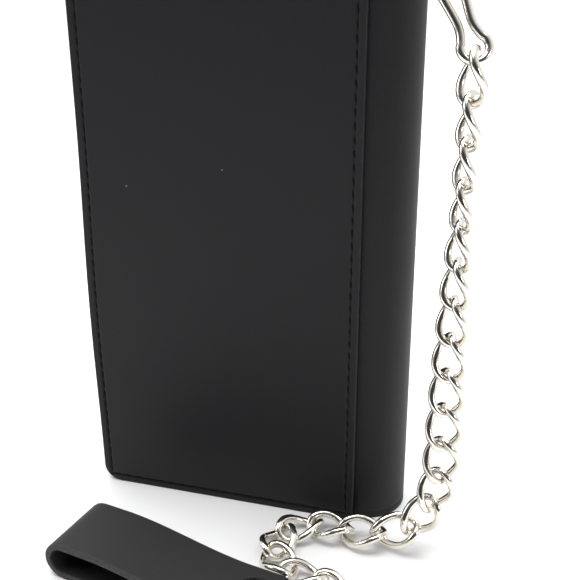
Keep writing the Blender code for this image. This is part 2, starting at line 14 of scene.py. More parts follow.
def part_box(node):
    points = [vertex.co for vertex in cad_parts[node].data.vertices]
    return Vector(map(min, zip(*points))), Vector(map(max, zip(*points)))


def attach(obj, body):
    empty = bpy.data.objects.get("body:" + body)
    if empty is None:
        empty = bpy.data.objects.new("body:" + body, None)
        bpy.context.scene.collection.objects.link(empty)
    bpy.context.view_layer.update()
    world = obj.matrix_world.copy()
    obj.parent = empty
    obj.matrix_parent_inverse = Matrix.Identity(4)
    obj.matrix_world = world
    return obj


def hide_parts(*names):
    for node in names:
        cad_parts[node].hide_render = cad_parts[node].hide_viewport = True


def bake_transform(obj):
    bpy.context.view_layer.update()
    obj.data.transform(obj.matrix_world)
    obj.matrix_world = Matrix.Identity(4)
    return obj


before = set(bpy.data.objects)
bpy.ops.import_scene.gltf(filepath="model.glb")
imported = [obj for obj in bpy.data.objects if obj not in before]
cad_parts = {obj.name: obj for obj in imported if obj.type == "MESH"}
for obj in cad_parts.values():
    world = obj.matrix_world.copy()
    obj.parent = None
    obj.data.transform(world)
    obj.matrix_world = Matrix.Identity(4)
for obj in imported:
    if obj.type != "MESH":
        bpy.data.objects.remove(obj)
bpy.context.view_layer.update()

# Studio: the wallet stands on a white sheet under a large soft light, with a second light at
# its open edge.  The side that the camera stands on is darker, so that the nickel has
# something dark to reflect.
CAMERA_PLACE = (0.1009, -0.2965, 0.228)
CAMERA_TURN = (math.radians(65.0), 0.0, math.radians(16.06))
CAMERA_LENS = 66.85
FLOOR_SIZE = 4.0
MM = 0.001


def node(tree, kind, inputs=None, **settings):
    """Add a shader node.  An input is a value, or another node's output to link it to."""
    made = tree.nodes.new("ShaderNode" + kind)
    for name, value in settings.items():
        setattr(made, name, value)
    for key, value in (inputs or {}).items():
        if isinstance(value, bpy.types.NodeSocket):
            tree.links.new(value, made.inputs[key])
        else:
            made.inputs[key].default_value = value
    return made


def soft_light(name, place, aim, size, power):
    lamp = bpy.data.lights.new(name, "AREA")
    lamp.size = size
    lamp.energy = power
    made = bpy.data.objects.new(name, lamp)
    made.location = place
    made.rotation_euler = (Vector(aim) - Vector(place)).to_track_quat("-Z", "Y").to_euler()
    bpy.context.scene.collection.objects.link(made)


def new_material(name):
    """A material with its tree and its Principled shader."""
    made = bpy.data.materials.new(name)
    made.use_nodes = True
    return made, made.node_tree, made.node_tree.nodes["Principled BSDF"]


def tones(tree, factor, dark, light):
    """A colour between two, by a factor."""
    mixed = node(tree, "Mix", {"Factor": factor}, data_type="RGBA")
    mixed.inputs["A"].default_value = (*dark, 1.0)
    mixed.inputs["B"].default_value = (*light, 1.0)
    return mixed


def roughen(tree, shader, height, strength, distance):
    bump = node(tree, "Bump", {"Height": height, "Strength": strength, "Distance": distance})
    tree.links.new(bump.outputs["Normal"], shader.inputs["Normal"])


def studio():
    scene = bpy.context.scene
    camera = bpy.data.objects.new("camera", bpy.data.cameras.new("camera"))
    camera.data.lens = CAMERA_LENS
    camera.location = CAMERA_PLACE
    camera.rotation_euler = CAMERA_TURN
    camera.data.clip_start = 0.01
    scene.collection.objects.link(camera)
    scene.camera = camera
    scene.view_settings.view_transform = "Standard"

    world = bpy.data.worlds.new("studio")
    world.use_nodes = True
    tree = world.node_tree
    direction = node(tree, "TexCoord").outputs["Generated"]
    toward_back = node(tree, "SeparateXYZ", {0: direction}).outputs["Y"]
    level = node(tree, "MapRange", {"Value": toward_back, "From Min": -0.75, "From Max": 0.15,
                                    "To Min": 0.05, "To Max": 1.0})
    tree.links.new(level.outputs[0], tree.nodes["Background"].inputs["Color"])
    tree.nodes["Background"].inputs["Strength"].default_value = 1.0
    scene.world = world

    soft_light("top_light", (-0.1, 0.1, 1.2), (0.0, 0.0, 0.0), 1.2, 19.0)
    soft_light("side_light", (-1.0, -0.3, 0.6), (0.0, 0.0, 0.08), 0.5, 2.2)
    soft_light("spine_light", (1.0, -0.5, 0.5), (0.04, 0.0, 0.08), 0.3, 1.6)

    mesh = bpy.data.meshes.new("floor")
    bm = bmesh.new()
    bmesh.ops.create_grid(bm, x_segments=1, y_segments=1, size=FLOOR_SIZE / 2)
    bm.to_mesh(mesh)
    bm.free()
    floor = bpy.data.objects.new("floor", mesh)
    scene.collection.objects.link(floor)
    white, _, shader = new_material("white_sheet")
    shader.inputs["Base Color"].default_value = (0.90, 0.90, 0.905, 1.0)
    shader.inputs["Roughness"].default_value = 0.9
    shader.inputs["Specular IOR Level"].default_value = 0.1
    mesh.materials.append(white)


studio()

# Outer cover: one piece of smooth black leather that runs from the front edge round the
# spine to the back edge.  Its cut edges are rounded and dyed, and a line is creased round
# the spine near both ends.  The spine is drawn in toward its top.
WALLET_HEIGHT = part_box("front_cover")[1].z
COVER_LOW, COVER_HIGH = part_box("front_cover")
BACK_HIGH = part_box("back_cover")[1]
PANEL_LOW, PANEL_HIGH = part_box("front_panel")
COVER_THICKNESS = 1.8 * MM
CUT_EDGE = 0.5 * MM
CORNER_RADIUS = 6.0 * MM
FOLD_Y = (COVER_LOW.y + BACK_HIGH.y) / 2
CREASE_INSET = 2.6 * MM
CREASE_LINES = [-0.5 * MM, -0.25 * MM, 0.0, 0.25 * MM, 0.5 * MM]
SPINE_STEPS = 48
SPINE_TAPER = 0.6 * MM
GRAIN_PER_METRE = 1500.0


def effect(name, inputs, outputs):
    """An empty shader node group with number sockets, and its two end nodes."""
    group = bpy.data.node_groups.new(name, "ShaderNodeTree")
    for label, value in inputs.items():
        made = group.interface.new_socket(label, in_out="INPUT", socket_type="NodeSocketFloat")
        made.default_value = value
    for label in outputs:
        group.interface.new_socket(label, in_out="OUTPUT", socket_type="NodeSocketFloat")
    return group, group.nodes.new("NodeGroupInput"), group.nodes.new("NodeGroupOutput")


def math_node(tree, operation, first, second=0.0):
    return node(tree, "Math", {0: first, 1: second}, operation=operation).outputs[0]


def leather_grain():
    """Fine pebbled grain with pores, and the slow change of tone of a dyed hide."""
    group, given, out = effect("leather grain", {"Scale": GRAIN_PER_METRE, "Pores": 0.4},
                               ["Height", "Tone"])
    where = node(group, "TexCoord").outputs["Object"]
    pebbles = node(group, "TexVoronoi", {"Vector": where, "Scale": given.outputs["Scale"]},
                   feature="SMOOTH_F1")
    pebbles.inputs["Smoothness"].default_value = 0.6
    fine = node(group, "TexNoise", {"Vector": where, "Scale": math_node(group, "MULTIPLY",
                given.outputs["Scale"], 1.7), "Detail": 3.0})
    pores = math_node(group, "MULTIPLY", fine.outputs["Fac"], given.outputs["Pores"])
    height = math_node(group, "SUBTRACT", pores, pebbles.outputs["Distance"])
    slow = node(group, "TexNoise", {"Vector": where, "Scale": 28.0, "Detail": 5.0, "Roughness": 0.6})
    group.links.new(height, out.inputs["Height"])
    group.links.new(slow.outputs["Fac"], out.inputs["Tone"])
    return group


def edge_wear():
    """Where handling has rubbed the finish, close to the cut edges and broken up."""
    group, given, out = effect("edge wear", {"Reach": 0.6, "Scale": 900.0}, ["Mask"])
    near = node(group, "Attribute", attribute_name="edge").outputs["Fac"]
    where = node(group, "TexCoord").outputs["Object"]
    patches = node(group, "TexNoise", {"Vector": where, "Scale": given.outputs["Scale"], "Detail": 4.0})
    lifted = math_node(group, "ADD", near, patches.outputs["Fac"])
    start = math_node(group, "SUBTRACT", 1.75, given.outputs["Reach"])
    mask = node(group, "MapRange", {"Value": lifted, "From Min": start, "From Max": 1.6})
    group.links.new(mask.outputs[0], out.inputs["Mask"])
    return group


def dust():
    """A few pale specks of lint, each a fraction of a millimetre across."""
    group, given, out = effect("dust", {"Spacing": 60.0, "Size": 0.020}, ["Mask"])
    where = node(group, "TexCoord").outputs["Object"]
    cells = node(group, "TexVoronoi", {"Vector": where, "Scale": given.outputs["Spacing"]})
    hit = math_node(group, "LESS_THAN", cells.outputs["Distance"], given.outputs["Size"])
    group.links.new(hit, out.inputs["Mask"])
    return group


GRAIN, WEAR, DUST = leather_grain(), edge_wear(), dust()
LINT = (0.16, 0.16, 0.16, 1.0)


def dusted(tree, under):
    """The colour of a mix node with the specks of dust over it."""
    specks = node(tree, "Group", node_tree=DUST)
    mixed = node(tree, "Mix", {"Factor": specks.outputs["Mask"], "A": under.outputs["Result"]},
                 data_type="RGBA")
    mixed.inputs["B"].default_value = LINT
    return mixed.outputs["Result"]


def leather(name, color, worn, roughness, specular, depth, scale=GRAIN_PER_METRE):
    """Dyed leather: grain, slow change of tone, rubbed edges and a few specks of dust."""
    made, tree, shader = new_material(name)
    grain = node(tree, "Group", node_tree=GRAIN)
    grain.inputs["Scale"].default_value = scale
    rubbed = node(tree, "Group", node_tree=WEAR)
    toned = tones(tree, grain.outputs["Tone"], [c * 0.78 for c in color], [c * 1.22 for c in color])
    edged = node(tree, "Mix", {"Factor": rubbed.outputs["Mask"], "A": toned.outputs["Result"]},
                 data_type="RGBA")
    edged.inputs["B"].default_value = (*worn, 1.0)
    tree.links.new(dusted(tree, edged), shader.inputs["Base Color"])
    rough = node(tree, "MapRange", {"Value": grain.outputs["Tone"], "To Min": roughness - 0.07,
                                    "To Max": roughness + 0.07})
    tree.links.new(rough.outputs[0], shader.inputs["Roughness"])
    roughen(tree, shader, grain.outputs["Height"], 0.5, depth)
    shader.inputs["Specular IOR Level"].default_value = specular
    return made


BLACK_LEATHER = leather("black_leather", (0.0078, 0.0082, 0.0096), (0.021, 0.021, 0.023), 0.52, 0.24,
                        0.06 * MM)


def mesh_of(name, bm):
    bmesh.ops.recalc_face_normals(bm, faces=bm.faces)
    mesh = bpy.data.meshes.new(name)
    bm.to_mesh(mesh)
    bm.free()
    return mesh


def skin(bm, rings, closed):
    """Faces between rings of points.  Closed joins the last ring to the first, else both are capped."""
    rings = [[bm.verts.new(point) for point in ring] for ring in rings]
    for ring, after in zip(rings, rings[1:] + rings[:1] if closed else rings[1:]):
        for index in range(len(ring)):
            step = (index + 1) % len(ring)
            bm.faces.new((ring[index], ring[step], after[step], after[index]))
    if not closed:
        bm.faces.new(rings[0])
        bm.faces.new(rings[-1])
    return rings


def put(name, data, body=None, replaced=(), matrix=None):
    """Put a piece on its CAD body, in place of the CAD nodes that it replaces."""
    made = bpy.data.objects.new(name, data)
    bpy.context.scene.collection.objects.link(made)
    if matrix is not None:
        made.matrix_world = matrix
    if body:
        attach(made, body)
    if replaced:
        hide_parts(*replaced)
    return made


def finish_mesh(name, mesh, material, body=None, replaced=(), sharp=50):
    """Shade a mesh, give it its material, and put it on its CAD body."""
    mesh.materials.append(material)
    mesh.shade_smooth()
    mesh.set_sharp_from_angle(angle=math.radians(sharp))
    return put(name, mesh, body, replaced)


def grid_lines(length, ends, step):
    """Places of grid lines along one side: the given ones at both ends, then even ones."""
    span = length - 2 * ends[-1]
    count = max(1, math.ceil(span / step))
    middle = [ends[-1] + span * index / count for index in range(1, count)]
    return list(ends) + middle + [length - end for end in reversed(ends)]


def corner_start(across, length, radii):
    """How far a round corner takes the border in, at both ends of a row."""
    starts = []
    for radius, reach in ((radii[0], across), (radii[1], length - across)):
        inside = max(radius - reach, 0.0)
        starts.append(radius - math.sqrt(max(radius ** 2 - inside ** 2, 0.0)))
    return max(starts)


def border_distance(s, z, size, radii):
    """How far a point lies inside the border of a sheet with round corners at each end."""
    distance = min(s, size[0] - s, z, size[1] - z)
    for radius, u in ((radii[0], s), (radii[1], size[0] - s)):
        v = min(z, size[1] - z)
        if u < radius and v < radius:
            distance = min(distance, radius - math.hypot(radius - u, radius - v))
    return max(distance, 0.0)


EDGE_LINES = [0.0, 0.08 * MM, 0.25 * MM, 0.6 * MM]
WEAR_FADE = 1.2 * MM
CORNER_STEPS = 8


def sheet(name, size, radii, thickness, lay, s_lines=(), z_lines=(), step=(4 * MM, 12 * MM), press=None):
    """A sheet of leather or cloth with round corners and soft cut edges.

    size is its flat length and height, and radii its corners' at the start and the end of
    that length.  lay(s, z, h) puts a point of the flat sheet, h from its middle, in place.
    press(s, z) gives how much lower its outer face is.
    """
    arcs = [max(radii) * (1 - math.cos(math.pi / 2 * i / CORNER_STEPS)) for i in range(1, CORNER_STEPS + 1)]
    ends = sorted(set(EDGE_LINES + [round(a, 6) for a in arcs if a > EDGE_LINES[-1] + 0.1 * MM]))
    columns = sorted(set(grid_lines(size[0], ends, step[0]) + list(s_lines)))
    rows = sorted(set(grid_lines(size[1], ends, step[1]) + list(z_lines)))
    bm = bmesh.new()
    near = bm.verts.layers.float.new("edge")
    round_edge = min(CUT_EDGE, thickness * 0.42)
    sides = ([], [])
    for z in rows:
        lines = ([], [])
        for s in columns:
            left = corner_start(min(z, size[1] - z), 1.0, (radii[0], 0.0)) if radii[0] else 0.0
            right = corner_start(min(z, size[1] - z), 1.0, (radii[1], 0.0)) if radii[1] else 0.0
            here = s
            if s < radii[0]:
                here = left + (radii[0] - left) * s / radii[0]
            elif size[0] - s < radii[1]:
                here = size[0] - right - (radii[1] - right) * (size[0] - s) / radii[1]
            distance = border_distance(here, z, size, radii)
            inside = max(round_edge - distance, 0.0)
            height = thickness / 2 - round_edge + math.sqrt(max(round_edge ** 2 - inside ** 2, 0.0))
            sunk = press(here, z) if press else 0.0
            for line, h in ((lines[0], height - sunk), (lines[1], -height)):
                vert = bm.verts.new(lay(here, z, h))
                vert[near] = math.exp(-distance / WEAR_FADE)
                line.append(vert)
        for side, line in zip(sides, lines):
            side.append(line)
    for side in sides:
        for low, high in zip(side, side[1:]):
            for a, b, c, d in zip(low, low[1:], high[1:], high):
                bm.faces.new((a, b, c, d))

    def rim(grid):
        return grid[0] + [row[-1] for row in grid[1:]] + grid[-1][-2::-1] + [row[0] for row in grid[-2:0:-1]]

    outer, inner = rim(sides[0]), rim(sides[1])
    for index, vert in enumerate(outer):
        after = (index + 1) % len(outer)
        bm.faces.new((vert, outer[after], inner[after], inner[index]))
    return mesh_of(name, bm)


def follow(path):
    """The length of a path of (across, up) points, and a way to find points beside it."""
    points = np.array(path, float)
    steps = np.linalg.norm(np.diff(points, axis=0), axis=1)
    run = np.concatenate([[0.0], np.cumsum(steps)])
    along = np.gradient(points, run, axis=0)
    along /= np.linalg.norm(along, axis=1)[:, None]

    def at(s, h):
        place = [np.interp(s, run, points[:, k]) for k in (0, 1)]
        way = [np.interp(s, run, along[:, k]) for k in (0, 1)]
        size = math.hypot(*way)
        return place[0] + h * way[1] / size, place[1] - h * way[0] / size

    return run[-1], at


def arc(center, radii, start, end, steps):
    """Points on part of an ellipse between two angles in degrees."""
    angles = [math.radians(start + (end - start) * step / steps) for step in range(steps + 1)]
    return [(center[0] + radii[0] * math.cos(a), center[1] + radii[1] * math.sin(a)) for a in angles]


def outer_cover():
    half = COVER_THICKNESS / 2
    reach = COVER_HIGH.x - PANEL_HIGH.x - half
    depth = (BACK_HIGH.y - COVER_LOW.y) / 2 - half
    spine = arc((PANEL_HIGH.x, FOLD_Y), (reach, depth), -90, 90, SPINE_STEPS)
    path = [(COVER_LOW.x, FOLD_Y - depth)] + spine + [(COVER_LOW.x, FOLD_Y + depth)]
    length, at = follow(path)
    flat = PANEL_HIGH.x - COVER_LOW.x
    bends = [flat + (length - 2 * flat) * step / SPINE_STEPS for step in range(SPINE_STEPS + 1)]
    creases = [CREASE_INSET + offset for offset in CREASE_LINES]
    levels = creases + [WALLET_HEIGHT - crease for crease in creases]

    def lay(s, z, h):
        x, y = at(s, h)
        drawn_in = max(x - PANEL_HIGH.x, 0.0) / reach
        return x - SPINE_TAPER * drawn_in * z / WALLET_HEIGHT, y, z

    def press(s, z):
        away = min(abs(z - CREASE_INSET), abs(WALLET_HEIGHT - z - CREASE_INSET)) / (0.3 * MM)
        on_spine = flat < s < length - flat
        return 0.22 * MM * math.exp(-away * away) if on_spine else 0.0

    mesh = sheet("outer_cover", (length, WALLET_HEIGHT), (CORNER_RADIUS, CORNER_RADIUS), COVER_THICKNESS,
                 lay, bends, levels, (8 * MM, 12 * MM), press)
    cover = finish_mesh("outer_cover", mesh, BLACK_LEATHER, None, ("front_cover", "back_cover"))
    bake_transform(cover)


outer_cover()

# Front panel: a second layer of the same leather, sewn on the cover's face with black waxed
# thread.  Its free edge at the opening has bellied out with use, and its edge by the spine
# stands a little proud.
STITCH_INSET = 2.7 * MM
STITCH_PITCH = 4.2 * MM
STITCH_LENGTH = 3.1 * MM
THREAD_RADIUS = 0.27 * MM
STITCH_SLANT = math.radians(11)
PANEL_BELLY = 0.9 * MM
SEAM_DEPTH = 0.42 * MM


def thread():
    """Waxed black thread, with the lay of its twist."""
    made, tree, shader = new_material("black_thread")
    twist = node(tree, "TexWave", {"Scale": 900.0, "Distortion": 1.0}, bands_direction="DIAGONAL")
    tone = tones(tree, twist.outputs["Fac"], (0.002, 0.002, 0.002), (0.006, 0.006, 0.007))
    tree.links.new(tone.outputs["Result"], shader.inputs["Base Color"])
    roughen(tree, shader, twist.outputs["Fac"], 0.6, 0.05 * MM)
    shader.inputs["Roughness"].default_value = 0.7
    shader.inputs["Specular IOR Level"].default_value = 0.15
    return made


BLACK_THREAD = thread()
# Along a stitch: how far from its middle, how thick, and how far the thread stands up.
STITCH_SHAPE = [(-1.0, 0.3, -0.5), (-0.8, 0.8, 0.05), (-0.35, 1.0, 0.45), (0.35, 1.0, 0.45),
                (0.8, 0.8, 0.05), (1.0, 0.3, -0.5)]
THREAD_SIDES = 6


def stitches(name, runs, body):
    """Rows of slanted stitches.  A run is its two ends and the direction its face looks in."""
    bm = bmesh.new()
    for start, end, face in runs:
        start, end, face = Vector(start), Vector(end), Vector(face)
        span = end - start
        count = max(1, round(span.length / STITCH_PITCH))
        along = Matrix.Rotation(STITCH_SLANT, 3, face) @ span.normalized()
        across = face.cross(along)
        for index in range(count):
            middle = start + span * (index + 0.5) / count
            rings = []
            for share, thick, up in STITCH_SHAPE:
                center = middle + along * share * STITCH_LENGTH / 2 + face * up * THREAD_RADIUS
                ring = []
                for side in range(THREAD_SIDES):
                    angle = 2 * math.pi * side / THREAD_SIDES
                    spoke = across * math.cos(angle) + face * math.sin(angle)
                    ring.append(center + spoke * thick * THREAD_RADIUS)
                rings.append(ring)
            skin(bm, rings, False)
    return finish_mesh(name, mesh_of(name, bm), BLACK_THREAD, body, sharp=80)


def belly(z):
    """How far the panel's free edge stands out at a height."""
    share = min(max(z / (0.72 * WALLET_HEIGHT), 0.0), 1.0)
    return PANEL_BELLY * math.sin(math.pi * share) ** 2


def front_panel():
    width = PANEL_HIGH.x - PANEL_LOW.x
    middle = (PANEL_LOW.y + PANEL_HIGH.y) / 2
    thickness = PANEL_HIGH.y - PANEL_LOW.y
    near = [STITCH_INSET + offset * MM for offset in (-0.7, -0.4, -0.15, 0.0, 0.15, 0.4, 0.7)]

    def lay(s, z, h):
        out = belly(z) * max(1 - s / (30 * MM), 0.0)
        return PANEL_LOW.x + s - out, middle - h, z

    def press(s, z):
        inside = STITCH_INSET - 0.3 * MM
        sunk = 0.0
        for away, other, limit in ((s, z, WALLET_HEIGHT), (width - s, z, WALLET_HEIGHT), (z, s, width),
                                   (WALLET_HEIGHT - z, s, width)):
            if inside < other < limit - inside:
                gap = (away - STITCH_INSET) / (0.4 * MM)
                sunk = max(sunk, SEAM_DEPTH * math.exp(-gap * gap))
        return sunk

    mesh = sheet("front_panel_leather", (width, WALLET_HEIGHT), (CORNER_RADIUS, 0.0), thickness, lay,
                 near + [width - place for place in near], near + [WALLET_HEIGHT - place for place in near],
                 (5 * MM, 5 * MM), press)
    finish_mesh("front_panel_leather", mesh, BLACK_LEATHER, "front_half", ("front_panel",))
    face = (0, -1, 0)
    left, right = PANEL_LOW.x + STITCH_INSET, PANEL_HIGH.x - STITCH_INSET
    bottom, top = STITCH_INSET, WALLET_HEIGHT - STITCH_INSET
    y = PANEL_LOW.y + SEAM_DEPTH
    rows = []
    steps = 12
    for step in range(steps):
        low, high = [bottom + (top - bottom) * (step + k) / steps for k in (0, 1)]
        rows.append(((left - belly(low), y, low), (left - belly(high), y, high), face))
    rows += [((left, y, bottom), (right, y, bottom), face), ((right, y, bottom), (right, y, top), face),
             ((left, y, top), (right, y, top), face)]
    stitches("panel_stitching", rows, "front_half")


front_panel()

# Loose thread end at the foot of the seam beside the spine, burnt off short.
END_RADIUS = 0.28 * MM
WIRE_SIDES = 14
SEAM_SHRINK = 0.93


def smooth(route, spacing, cyclic):
    """Points along a smooth curve through the route, closely and evenly spaced."""
    knots = [Vector(point) for point in route]
    if cyclic:
        knots = [knots[-1]] + knots + knots[:2]
    else:
        knots = [knots[0] * 2 - knots[1]] + knots + [knots[-1] * 2 - knots[-2]]
    points = []
    for p0, p1, p2, p3 in zip(knots, knots[1:], knots[2:], knots[3:]):
        steps = max(2, math.ceil((p2 - p1).length / spacing))
        for step in range(steps):
            t = step / steps
            points.append(0.5 * (2 * p1 + (p2 - p0) * t + (2 * p0 - 5 * p1 + 4 * p2 - p3) * t ** 2
                                 + (3 * p1 - p0 - 3 * p2 + p3) * t ** 3))
    return points if cyclic else points + [knots[-2]]


def wire(name, points, radius, material, seam=None, cyclic=True):
    """Round wire through its points; a seam is the number of the point at its butt joint."""
    points = [Vector(point) for point in points]
    count = len(points)
    ways = []
    for index in range(count):
        ahead, behind = (index + 1) % count, index - 1
        if not cyclic:
            ahead, behind = min(index + 1, count - 1), max(index - 1, 0)
        ways.append((points[ahead] - points[behind]).normalized())
    sides = [ways[0].orthogonal().normalized()]
    for before, way in zip(ways, ways[1:]):
        sides.append(before.rotation_difference(way) @ sides[-1])
    last = ways[-1].rotation_difference(ways[0]) @ sides[-1]
    twist = math.atan2(last.cross(sides[0]).dot(ways[0]), last.dot(sides[0])) if cyclic else 0.0
    rings = []
    for index, (point, way, side) in enumerate(zip(points, ways, sides)):
        side = Matrix.Rotation(twist * index / count, 3, way) @ side
        up = way.cross(side)
        thick = radius * (SEAM_SHRINK if index == seam else 1.0)
        rings.append([point + (side * math.cos(a) + up * math.sin(a)) * thick
                      for a in (2 * math.pi * step / WIRE_SIDES for step in range(WIRE_SIDES))])
    bm = bmesh.new()
    skin(bm, rings, cyclic)
    mesh = mesh_of(name, bm)
    mesh.materials.append(material)
    mesh.shade_smooth()
    return mesh


def thread_end():
    start = Vector((PANEL_HIGH.x + 0.5 * MM, PANEL_LOW.y + 1.0 * MM, 9.0 * MM))
    route = [(0, 0, 0), (0.1, -0.2, -4), (0.0, -0.5, -7.2), (-0.7, -1.0, -8.4), (-1.9, -1.4, -8.3),
             (-2.6, -1.6, -7.6)]
    points = smooth([start + Vector(place) * MM for place in route], 0.4 * MM, False)
    end = wire("thread_end", points, END_RADIUS, BLACK_THREAD, cyclic=False)
    put("thread_end", end, "front_half")


thread_end()

# Back cover's sewing: the lining is sewn to the cover along the free edges.
def back_sewing():
    left, right = COVER_LOW.x + STITCH_INSET, PANEL_HIGH.x - STITCH_INSET
    bottom, top = STITCH_INSET, WALLET_HEIGHT - STITCH_INSET
    rows = [(left, bottom, left, top), (left, bottom, right, bottom), (left, top, right, top),
            (right, bottom, right, top)]
    y = BACK_HIGH.y
    stitches("back_stitching", [((x0, y, z0), (x1, y, z1), (0, 1, 0)) for x0, z0, x1, z1 in rows],
             "back_half")


back_sewing()

# Chain links, clip and rings: steel wire bent to shape and nickel plated.  The links are
# curb links, so each one is twisted, and its ends meet in a butt joint on one side.
LINK_WIRE = 2.5 * MM
LINK_HALF_LENGTH = 7.55 * MM
LINK_HALF_WIDTH = 4.95 * MM
LINK_TWIST = math.radians(45.0)
LINK_SAMPLES = 72


def nickel():
    """Bright, slightly warm nickel plate with a faint unevenness under it."""
    made, tree, shader = new_material("nickel_plate")
    where = node(tree, "TexCoord").outputs["Object"]
    uneven = node(tree, "TexNoise", {"Vector": where, "Scale": 320.0, "Detail": 2.0})
    haze = node(tree, "TexNoise", {"Vector": where, "Scale": 1400.0, "Detail": 4.0})
    tone = tones(tree, haze.outputs["Fac"], (0.74, 0.70, 0.63), (0.86, 0.83, 0.77))
    tree.links.new(tone.outputs["Result"], shader.inputs["Base Color"])
    rough = node(tree, "MapRange", {"Value": haze.outputs["Fac"], "To Min": 0.06, "To Max": 0.22})
    tree.links.new(rough.outputs[0], shader.inputs["Roughness"])
    roughen(tree, shader, uneven.outputs["Fac"], 0.35, 0.15 * MM)
    shader.inputs["Metallic"].default_value = 1.0
    return made


NICKEL = nickel()


def link_points():
    points = []
    for index in range(LINK_SAMPLES):
        angle = 2 * math.pi * index / LINK_SAMPLES
        twist = LINK_TWIST * math.cos(angle)
        across = LINK_HALF_WIDTH * math.sin(angle)
        points.append((-LINK_HALF_LENGTH * math.cos(angle), across * math.cos(twist),
                       across * math.sin(twist)))
    return points


def lie_of(name):
    """Where a CAD link lies: its middle, with X along it and Y across it."""
    points = np.array([vert.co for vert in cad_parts[name].data.vertices])
    middle = points.mean(0)
    _, axes = np.linalg.eigh(np.cov((points - middle).T))
    along, across = Vector(axes[:, 2]), Vector(axes[:, 1])
    turn = Matrix((along, across, along.cross(across))).transposed().to_4x4()
    return Matrix.Translation(Vector(middle)) @ turn


def chain():
    shape = wire("curb_link", link_points(), LINK_WIRE / 2, NICKEL, LINK_SAMPLES // 4)
    for name in sorted(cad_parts):
        if name.startswith("link_"):
            put("curb_" + name, shape, name, (name,), lie_of(name))


chain()

# D-ring, spring clip and strap ring: wire again.  The clip is one bow of springy wire with
# a waist and a round eye that the first link hangs in.
D_WIRE = 2.0 * MM
D_HALF_WIDTH = 5.8 * MM
D_HEIGHT = 9.8 * MM
D_LEAN = math.radians(22.0)
CLIP_WIRE = 2.5 * MM
CLIP_EYE_RADIUS = 3.9 * MM
CLIP_TOP_RADIUS = 4.2 * MM
CLIP_FROM_BAR = Vector((25.8, -16.3, -28.8)) * MM
CLIP_WAIST = [(6.8 * MM, 2.0 * MM), (13.5 * MM, 2.7 * MM), (21.0 * MM, 3.7 * MM)]
CLIP_SHOULDER = 4.3 * MM
CLIP_FACES = Vector((-0.251, 0.871, -0.423))
RING_WIRE = 2.4 * MM


def top_fittings():
    low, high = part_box("d_ring")
    bar = Vector((low.x + D_WIRE / 2, (low.y + high.y) / 2, low.z + D_WIRE / 2))
    lean = Vector((math.sin(D_LEAN), 0.0, math.cos(D_LEAN)))
    flat = [(y * D_HALF_WIDTH, 0.0) for y in (-1.0, -0.9, 0.0, 0.9, 1.0)]
    flat += arc((0.0, D_HEIGHT - D_HALF_WIDTH), (D_HALF_WIDTH, D_HALF_WIDTH), 0, 180, 36)
    points = [bar + Vector((0, 1, 0)) * y + lean * up for y, up in flat]
    ring = wire("d_ring_wire", points, D_WIRE / 2, NICKEL, 2)
    put("d_ring_wire", ring, "d_ring", ("d_ring",))

    hook = bar + lean * D_HEIGHT
    eye = bar + CLIP_FROM_BAR
    down = (eye - hook).normalized()
    across = down.cross(CLIP_FACES).normalized()
    crown = (eye - hook).length + CLIP_WIRE / 2 + D_WIRE / 2 + 0.3 * MM
    waist = CLIP_WAIST + [(crown - 2.4 * CLIP_TOP_RADIUS, CLIP_SHOULDER)]
    bow = [(crown - CLIP_TOP_RADIUS + y, x) for x, y in arc((0, 0), (CLIP_TOP_RADIUS,) * 2, 0, 90, 4)]
    round_eye = [(y, x) for x, y in arc((0, 0), (CLIP_EYE_RADIUS,) * 2, -90, 42, 6)]
    half = round_eye + waist + bow
    outline = half + [(height, -out) for height, out in half[-2:0:-1]]
    route = [eye - down * height + across * out for height, out in outline]
    bent = wire("clip_wire", smooth(route, 0.6 * MM, True), CLIP_WIRE / 2, NICKEL)
    put("clip_wire", bent, "spring_clip", ("spring_clip",))

    low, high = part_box("strap_ring")
    middle, radius = (low + high) / 2, (high.x - low.x - RING_WIRE) / 2
    points = [middle + Vector((x, y, 0)) for x, y in arc((0, 0), (radius, radius), 0, 355, 71)]
    ring = wire("strap_ring_wire", points, RING_WIRE / 2, NICKEL, 18)
    put("strap_ring_wire", ring, "strap_ring", ("strap_ring",))


top_fittings()

# Tab: a narrow strip of the same leather, sewn inside the spine and folded over the straight
# bar of the D-ring.
TAB_THICKNESS = 0.9 * MM


def ring_tab():
    low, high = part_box("ring_tab")
    radius = (high.x - low.x - TAB_THICKNESS) / 2
    center = ((low.x + high.x) / 2, high.z - radius - TAB_THICKNESS / 2)
    path = [(low.x + TAB_THICKNESS / 2, low.z)] + arc(center, (radius, radius), 180, 0, 16)
    path += [(high.x - TAB_THICKNESS / 2, low.z)]
    length, at = follow(path)

    def lay(s, width, h):
        x, z = at(s, h)
        return x, low.y + width, z

    mesh = sheet("ring_tab_strip", (length, high.y - low.y), (0.8 * MM, 0.8 * MM), TAB_THICKNESS, lay,
                 step=(1 * MM, 2 * MM))
    finish_mesh("ring_tab_strip", mesh, BLACK_LEATHER, "front_half", ("ring_tab",))


ring_tab()

